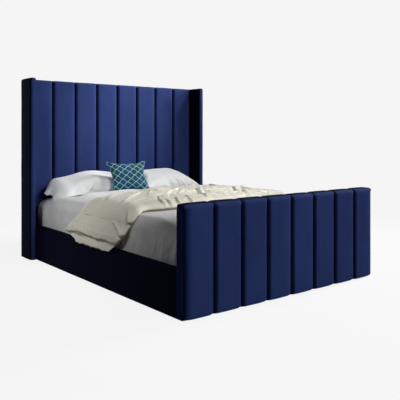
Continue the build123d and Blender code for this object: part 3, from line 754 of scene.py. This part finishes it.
hem_x = 0.8185
duvet_gap = 0.0032
left_line = [(-hem_x, 0.243), (-hem_x, 0.252), (-hem_x, 0.262), (-0.8125, 0.281), (-0.8, 0.313),
             (-0.785, 0.35), (-0.77, 0.385)]
left_line += [place[:2] for place in arc(
    (top_round - half_x, shoulder_z), top_round + duvet_gap, 176, 90, 9)]
line = np.array(left_line + [(-x, z) for x, z in reversed(left_line)])
lengths = np.concatenate([[0], np.cumsum(np.hypot(*np.diff(line, axis=0).T))])
duvet_rows, duvet_columns, rim_steps = 400, 190, 7
stations = np.linspace(0, lengths[-1], 1200)
kernel = np.exp(-np.linspace(-2, 2, 17) ** 2)
kernel /= kernel.sum()


def smoothed(values, bell=kernel):
    """The values run through a short bell filter, ends kept."""
    half = len(bell) // 2
    padded = np.concatenate([np.full(half, values[0]), values, np.full(half, values[-1])])
    return np.convolve(padded, bell, mode="valid")


path_x, path_z = (smoothed(np.interp(stations, lengths, line[:, axis])) for axis in (0, 1))
slope_x, slope_z = np.gradient(path_x), np.gradient(path_z)
slope = np.hypot(slope_x, slope_z)
normal_x, normal_z = -slope_z / slope, slope_x / slope
unrolled = stations - lengths[-1] / 2

# Where the duvet's line passes X and Z, the Y of its head edge and of its foot edge, in mm
edge_table = np.array([
    (-818.5, 243, 165, -278), (-818.5, 262, 176, -305), (-806, 296, 350, -352),
    (-791, 335, 300, -392), (-766, 400, 235, -434), (-746, 457, 185, -472),
    (-720, 486, 150, -476), (-680, 497, 150, -440), (-627, 497, 200, -424),
    (-540, 497, 270, -430), (-458, 497, 310, -430), (-380, 497, 330, -424),
    (-250, 497, 385, -404), (-100, 497, 460, -384), (50, 497, 505, -372), (200, 497, 500, -364),
    (340, 497, 500, -358), (480, 497, 550, -355), (580, 497, 585, -350), (680, 497, 600, -345),
    (746, 457, 600, -330), (785, 350, 585, -310), (818.5, 262, 540, -290),
    (818.5, 243, 520, -280),
]) / 1000
edge_places = [
    stations[np.argmin((path_x - x) ** 2 + (path_z - z) ** 2)] for x, z, _, _ in edge_table]
head_edge, foot_edge = (
    smoothed(np.interp(stations, edge_places, edge_table[:, column])) for column in (2, 3))
# Share of the full thickness at distances from the left hem and from the right hem
duvet_crown, least_crown = 0.058, 0.006
left_crown = ((0, 0.038, 0.048, 0.064, 0.09, 0.14, 0.26, 0.45),
              (0.16, 0.17, 0.2, 0.62, 0.88, 1.02, 1.04, 1))
right_crown = ((0, 0.05, 0.14, 0.24, 0.36, 0.52, 0.7),
               (0.34, 0.46, 0.55, 0.66, 0.8, 0.93, 1))

# Long folds: shares of the width from the foot edge, and how high each stands
fold_places = (0, 0.085, 0.17, 0.27, 0.37, 0.475, 0.58, 0.69, 0.8, 0.9, 1)
fold_heights = (0.6, 1, 0.54, 0.72, 0.46, 0.88, 0.52, 0.68, 0.48, 0.84, 0.4)
fold_kernel = np.array([1, 4, 9, 13, 15, 13, 9, 4, 1]) / 69

# Creases in mm: height (valleys negative), width, then unrolled X and Y of each point in turn
creases = [
    (-7, 8, -922, 150, -930, 13, -946, -115, -937, -247), (-7, 8, -866, 25, -904, -5, -935, -34),
    (-8, 8, -900, -40, -926, -58, -946, -115), (-6, 7, -960, -165, -915, -160),
    (-6, 7, -955, -205, -920, -212), (-10, 10, -820, -325, -855, -375, -891, -395),
    (-10, 10, -753, -425, -791, -450, -842, -415), (6, 24, -860, 200, -800, 80, -740, -60),
    (12, 11, -690, -60, -580, 75, -460, 200), (7, 15, -620, 100, -530, 200, -440, 270),
    (-10, 9, -450, 195, -375, 277), (14, 11, -680, -245, -520, -80, -360, 100),
    (7, 16, -700, -350, -600, -270, -500, -190), (-12, 9, -100, 400, 20, 460, 120, 520),
    (-13, 10, -388, 58, -293, 173, -232, 246), (10, 13, -330, 10, -240, 120, -170, 200),
    (-12, 10, -210, 340, -119, 198, -6, 237), (-11, 9, -197, -56, -43, 96, 128, 265),
    (5, 14, -120, -70, 30, 80, 180, 230), (-10, 8, -390, -190, -463, -300, -520, -430, -550, -560),
    (-12, 7, -440, -365, -472, -440, -490, -540), (-12, 7, -350, -335, -400, -430, -420, -540),
    (-10, 7, -250, -310, -280, -410, -290, -540),
    (-15, 13, 215, 190, 174, 95, -20, -180, -100, -350), (7, 18, 290, 170, 200, 10, 70, -230),
    (-12, 10, 330, 400, 440, 445, 540, 510), (-13, 12, 640, 560, 590, 400, 480, 260),
    (-14, 13, 645, 212, 480, 10, 344, -150, 290, -340), (10, 18, 700, 150, 560, -50, 470, -330),
    (-10, 11, 780, 160, 690, 60), (-9, 12, -870, 180, -780, 130, -700, 90),
]
crease_rise, crease_spread, crease_bank = 1.35, 1.1, 0.55
loose_reach, frill_out, frill_up = 0.045, 0.0022, 0.006


def crease_lift(across, along):
    """The summed height of the creases at one unrolled X and many Y: a bell, with a bank beside."""
    total = np.zeros_like(along)
    for height, width, *points in creases:
        points = np.array(points).reshape(-1, 2) / 1000
        best = np.full_like(along, 9)
        signed, place = np.zeros_like(along), np.zeros_like(along)
        run = np.concatenate([[0], np.cumsum(np.hypot(*np.diff(points, axis=0).T))])
        for k, (start, end) in enumerate(zip(points, points[1:])):
            way = end - start
            share = ((across - start[0]) * way[0] + (along - start[1]) * way[1]) / (way @ way)
            share = np.clip(share, 0, 1)
            off_x = across - start[0] - share * way[0]
            off_y = along - start[1] - share * way[1]
            away = np.hypot(off_x, off_y)
            nearer = away < best
            best = np.where(nearer, away, best)
            signed = np.where(nearer, np.sign(way[0] * off_y - way[1] * off_x) * away, signed)
            place = np.where(nearer, (run[k] + share * (run[k + 1] - run[k])) / run[-1], place)
        fade = np.sin(np.pi * np.clip(0.12 + 0.76 * place, 0, 1)) ** 0.8
        width *= crease_spread / 1000
        bell = np.exp(-(np.abs(signed) / (0.8 * width)) ** 1.5)
        bank = crease_bank * np.exp(-((signed - 1.6 * width) / (1.1 * width)) ** 2)
        total += crease_rise * height / 1000 * fade * (bell - bank)
    return total


def crumple_lift(across, y):
    """Small sharp folds in two directions, with fine wrinkles over them."""
    broad = 1 - 2 * abs(wave((across + 0.25 * y, 0.8 * y, 0), 5.5, 3))
    narrow = 1 - 2 * abs(wave((across - 0.35 * y, 1.3 * y, 0), 11, 5))
    return 0.0065 * broad + 0.004 * narrow + 0.0016 * wave((across, y, 0), 31, 7)


shares = np.linspace(0, 1, duvet_columns)
shares = 0.5 - 0.5 * np.cos(np.pi * shares) * (1 - 0.25 * np.sin(np.pi * shares) ** 2)
turns = np.pi * (np.arange(rim_steps) + 0.5) / rim_steps
rings = []
for row in np.linspace(0, len(stations) - 1, duvet_rows).astype(int):
    across = unrolled[row]
    here = (across, 0, 0)
    head = head_edge[row] + 0.007 * wave(here, 8, 1) + 0.003 * wave(here, 27, 4)
    foot = foot_edge[row] + 0.006 * wave(here, 7, 12) + 0.003 * wave(here, 25, 9)
    from_end = min(stations[row], stations[-1] - stations[row])
    along = foot + shares * (head - foot)
    uneven = np.array([0.008 * wave((0.3 * across, y, 1), 13, 2) for y in along])
    crown = duvet_crown * np.interp(np.maximum(from_end + uneven, 0),
                                    *(left_crown if across < 0 else right_crown))
    # Long folds that wander, stronger towards the right
    drift = 0.055 * wave(here, 1.9, 2)
    wander = np.array([drift + 0.03 * wave((across, 0.4 * y, 0), 5, 6) for y in along])
    strength = 0.85 + 0.35 * wave((across, 0, 3), 3, 8)
    strength *= ramp(across, -0.62, -0.12)
    folded = np.clip(shares + wander * np.sin(np.pi * shares), 0, 1)
    folds = smoothed(np.interp(folded, fold_places, fold_heights), fold_kernel)
    # A dome over the width, lower at its head edge than at its foot edge
    foot_end = 0.56 + 0.28 * ramp(across, -0.72, -0.52)
    ends = foot_end + (0.36 - foot_end) * shares
    dome = ends + (0.96 - ends) * hump(shares, 3.4) ** 0.62
    height = crown * (dome + (folds - 0.7) * strength)
    calm = 0.3 + 0.7 * ramp(across, -0.6, -0.15)
    crumple = np.array([crumple_lift(across, y) for y in along])
    height = height + crumple * calm * ramp(from_end, 0.02, 0.08)
    height = height + crease_lift(across, along)
    height = np.maximum(height * (0.5 + 0.5 * ramp(from_end, 0, 0.01)), least_crown)
    # The underside, the foot rim, the top and the head rim, as Y and as height over the line
    low_rim, high_rim = height[0] / 2, height[-1] / 2
    places = np.concatenate([along[::-1], foot - low_rim * np.sin(turns[::-1]),
                             along, head + high_rim * np.sin(turns)])
    lifts = np.concatenate([np.zeros(duvet_columns), low_rim * (1 + np.cos(turns[::-1])),
                            height, high_rim * (1 + np.cos(turns))])
    # Near the hems the quilt hangs loose and a little frilled
    loose = 1 - ramp(from_end, 0, loose_reach)
    away = math.copysign(frill_out * loose, across)
    ring = []
    for y, lift in zip(places, lifts):
        x = path_x[row] + normal_x[row] * lift + away * (1 + wave((0, y, 0), 24, 3))
        z = path_z[row] + normal_z[row] * lift + frill_up * loose * wave((0, y, 0), 19, 5)
        ring.append((x, y, z))
    rings.append(ring)
dress(tube("duvet_quilt", rings, quilt_sharp), "duvet", duvet_cotton, "duvet")


# Pillows and cushion: flat cases blown up by cloth simulation, then shaped to where they lie

case_spare = (1.1, 1.12)   # the flat case is this much longer and deeper than the stuffed one
blow_frames = 20
cloth_values = dict(
    quality=5, mass=0.25, tension_stiffness=60, compression_stiffness=60, shear_stiffness=12,
    bending_stiffness=0.35, air_damping=2, use_pressure=True, uniform_pressure_force=5)


def flat_case(name, length, depth, across, up, seed):
    """Two flat layers joined round their rim, with the flat cut of each point."""
    top = np.arange((up + 1) * (across + 1)).reshape(up + 1, across + 1)
    under = top.copy()
    under[1:-1, 1:-1] = top.size + np.arange((up - 1) * (across - 1)).reshape(up - 1, across - 1)
    points, cuts, faces = [], [], []
    for layer, grid in ((1, top), (-1, under)):
        for j, i in np.ndindex(grid.shape):
            inner = 0 < i < across and 0 < j < up
            if not inner and layer < 0:
                continue
            x, y = length * (i / across - 0.5), depth * (j / up - 0.5)
            puff = 0.01 * math.sin(math.pi * i / across) * math.sin(math.pi * j / up)
            puff += 0.0012 * wave((x, y, 0), 14, seed + layer)
            points.append((x, y, layer * puff * inner))
            cuts.append((x, y))
        faces += [face[::layer] for face in quads(grid)]
    return link(name, points, faces), np.array(cuts)


def blown(obj):
    """Run the cloth simulation and keep the shape that it ends with."""
    cloth = obj.modifiers.new("cloth", "CLOTH")
    for key, value in cloth_values.items():
        setattr(cloth.settings, key, value)
    cloth.settings.effector_weights.gravity = 0
    cloth.collision_settings.use_collision = False
    cloth.collision_settings.use_self_collision = False
    cloth.point_cache.frame_start = 1
    cloth.point_cache.frame_end = blow_frames
    for number in range(1, blow_frames + 1):
        scene.frame_set(number)
    evaluated = obj.evaluated_get(bpy.context.evaluated_depsgraph_get())
    shape = np.array([tuple(v.co) for v in evaluated.data.vertices])
    obj.modifiers.remove(cloth)
    scene.frame_set(1)
    return shape


def stuffed(name, size, cells, seed):
    """A stuffed case of a given length, depth and thickness, lying flat round the origin."""
    length, depth = size[0] * case_spare[0], size[1] * case_spare[1]
    obj, cuts = flat_case(name, length, depth, *cells, seed)
    shape = blown(obj)
    low, high = shape.min(0), shape.max(0)
    shape = (shape - (low + high) / 2) / (high - low) * np.array(size)
    layer = obj.data.uv_layers.new(name="cut")
    for loop in obj.data.loops:
        cut = cuts[loop.vertex_index]
        layer.data[loop.index].uv = (float(cut[0]), float(cut[1]))
    return obj, shape


def support(x, y):
    """The level of the sheet under a place on the bed."""
    over = min(max(abs(x) - (half_x - top_round), 0), full_round * 0.98)
    level = shoulder_z + math.sqrt(full_round ** 2 - over ** 2)
    return level - corner_drop(x, y, level) + ridge_lift(x, y)


def resting(level, floor, give):
    """A level kept above the floor, eased in over a little height."""
    above = level - floor
    if above > give:
        return level
    return floor + give * math.exp((above - give) / give) if above > -6 * give else floor


case_gap, case_give, wall_give = 0.0022, 0.01, 0.006
droop_start, droop_end = 0.6, 0.75      # from and to this far from the middle of the bed


def place_case(obj, shape, middle, tilt, node, material,
               droop=0, wall=None, yaw=0):
    """Tilt a stuffed case, set it down on the sheet and let an end droop over the mattress."""
    turn, swing = math.radians(tilt), math.radians(-yaw)
    points = []
    for x, y, z in shape:
        flat_y = y * math.cos(turn) - z * math.sin(turn)
        place_x = middle[0] + x * math.cos(swing) - flat_y * math.sin(swing)
        place_y = middle[1] + x * math.sin(swing) + flat_y * math.cos(swing)
        place_z = middle[2] + y * math.sin(turn) + z * math.cos(turn)
        if place_x * middle[0] > 0:
            place_z -= droop * ramp(abs(place_x), droop_start, droop_end) ** 1.25
        place_z = resting(place_z, support(place_x, place_y) + case_gap, case_give)
        if wall is not None and place_y > wall - 2 * wall_give:
            place_y = wall - resting(wall - place_y, 0, wall_give)
        points.append((place_x, place_y, place_z))
    obj.data.vertices.foreach_set("co", np.array(points).ravel())
    obj.data.update()
    clean(obj, never_sharp)
    softer = obj.modifiers.new("softer", "SMOOTH")
    softer.factor = 0.5
    softer.iterations = 4
    finer = obj.modifiers.new("finer", "SUBSURF")
    finer.levels = finer.render_levels = 1
    dress(obj, node, material, node)


pillow_size = (0.655, 0.405, 0.172)
pillow_tilt, pillow_droop, pillow_fill = 17, 0.07, 0.65
pillow_y, pillow_z = 0.8278, 0.5825
pillow_wall = head_front - 0.0008
for word, seed, x in (("left", 1, -0.415), ("right", 5, 0.427)):
    pillow, shape = stuffed(f"pillow_{word}_case", pillow_size, (84, 52), seed)
    along, up = shape[:, 0] / pillow_size[0] + 0.5, 2 * shape[:, 1] / pillow_size[1]
    if word == "left":
        full, narrow = eased(along, 0.14, 0.62), eased(along, 0, 0.17)
        shape[:, 2] = shape[:, 2] * (0.52 + 0.48 * full) - 0.019 * (1 - full)
        shape[:, 2] -= 0.026 * eased(along, 0.7, 0.3) * eased(up, -0.3, -1)
        shape[:, 0] -= 0.034 * (1 - up * up) * eased(along, 0.28, 0)
        shape[:, 1] = shape[:, 1] * (0.66 + 0.34 * narrow) - 0.052 * (1 - narrow)
        shape[:, 0] += 0.045 * eased(along, 0.5, 1)
    else:
        shape[:, 2] *= 0.48 + 0.46 * eased(along, 1.02, 0.48)
        shape[:, 0] -= 0.1 * eased(along, 0.4, 1.05) + 0.055 * eased(along, 0.5, 0)
    place_case(pillow, shape, (x, pillow_y, pillow_z), pillow_tilt, f"pillow_{word}",
               pillow_cotton, pillow_droop, pillow_wall)

cushion_size, cushion_place = (0.33, 0.292, 0.104), (-0.122, 0.6249, 0.63)
cushion_tilt, cushion_yaw, cushion_fill = 66, 14, 0.7
cushion, shape = stuffed("cushion_case", cushion_size, (56, 50), 9)
u, v = 2 * shape[:, 0] / cushion_size[0], 2 * shape[:, 1] / cushion_size[1]
shape[:, 1] -= np.sign(v) * 0.016 * (1 - u * u) * v * v
shape[:, 0] -= np.sign(u) * 0.012 * (1 - v * v) * u * u
shape[:, 0] = 1.06 * shape[:, 0] - 0.014 * v + 0.012 * np.sign(u) * np.abs(u * v) ** 4
shape[:, 1] = 1.04 * shape[:, 1] + 0.008 * np.sign(v) * np.abs(u * v) ** 4
place_case(cushion, shape, cushion_place, cushion_tilt, "cushion", trellis,
           yaw=cushion_yaw)
pitch_across, pitch_up = 0.073, 0.062
for item in cushion.data.uv_layers[0].data:
    item.uv = (item.uv[0] / pitch_across, item.uv[1] / pitch_up)


# Floor, world and lights

fill_strength = 0.05
backdrop = 0.913
floor_level, floor_share = 0.4, 0.16
fade_start, fade_end = 1.2, 3.4
floor_drop, floor_reach = 0.0004, 60


def white_rays(m):
    """1 for the rays that see the plain background: camera, glossy and transmission."""
    rays = m.add("ShaderNodeLightPath").outputs
    direct = m.math("MAXIMUM", rays["Is Camera Ray"], rays["Is Transmission Ray"])
    return m.math("MAXIMUM", direct, rays["Is Glossy Ray"])


def make_floor():
    """Plain pale floor that keeps a faint shadow near the bed and fades into the background."""
    m = Nodes("studio_floor")
    far = m.add("ShaderNodeVectorMath", {0: m.coords["Object"]}, operation="LENGTH").outputs[1]
    shade = m.span(far, fade_start, fade_end, floor_share, 0)
    light = m.span(far, fade_start, fade_end, backdrop - floor_share * floor_level, backdrop)
    seen = m.add("ShaderNodeBsdfDiffuse", {"Color": shade}).outputs[0]
    glow = m.add("ShaderNodeEmission", {"Strength": light}).outputs[0]
    shown = m.add("ShaderNodeAddShader", {0: glow, 1: seen}).outputs[0]
    ground = m.add("ShaderNodeBsdfDiffuse", {"Color": (0.2, 0.2, 0.2, 1)}).outputs[0]
    mix = m.add("ShaderNodeMixShader", {0: white_rays(m), 1: ground, 2: shown}).outputs[0]
    m.add("ShaderNodeOutputMaterial", {"Surface": mix})
    return m.owner


corners = [(-1, -1, 0), (1, -1, 0), (1, 1, 0), (-1, 1, 0)]
floor = link("studio_floor", floor_reach * np.array(corners), [(0, 1, 2, 3)])
floor.location.z = -floor_drop
floor.data.materials.append(make_floor())

scene.world = bpy.data.worlds.new("studio")
w = Nodes(scene.world)
fill_light = {"Color": (0.97, 0.98, 1, 1), "Strength": fill_strength}
plain_wall = {"Color": (backdrop, backdrop, backdrop, 1), "Strength": 1}
lit, shown = (w.add("ShaderNodeBackground", look).outputs[0] for look in (fill_light, plain_wall))
mix = w.add("ShaderNodeMixShader", {0: white_rays(w), 1: lit, 2: shown}).outputs[0]
w.add("ShaderNodeOutputWorld", {"Surface": mix})

# Square soft boxes as (name, place, target, size, power in watts, spread in degrees)
for name, place, target, size, power, spread in (
    ("front", (-0.6, -6.2, 2.6), (-0.3, -0.6, 0.4), 1.8, 150, 180),
    ("right", (5, -1, 3.2), (0, 0, 0.5), 1.3, 195, 180),
    ("head", (1.9, -0.3, 3.3), (0.12, 1.03, 1.52), 0.5, 6, 35),
    ("top", (0.7, -0.5, 2.7), (0.2, -0.1, 0.5), 0.6, 1.1, 42),
    ("left", (-2.2, 0.9, 2.4), (-0.6, 0.4, 0.45), 0.9, 0.6, 60),
    ("low", (-3.2, -0.3, 1.25), (-0.8, 0.28, 0.38), 0.8, 1.4, 43),
    ("back", (-1.5, 5.5, 1.6), (0, 1, 0.6), 1.8, 45, 180),
):
    data = bpy.data.lights.new(name, "AREA")
    data.shape = "SQUARE"
    data.size = size
    data.energy = power
    data.spread = math.radians(spread)
    lamp = bpy.data.objects.new(name, data)
    lamp.location = place
    lamp.rotation_euler = (Vector(target) - Vector(place)).to_track_quat("-Z", "Y").to_euler()
    scene.collection.objects.link(lamp)
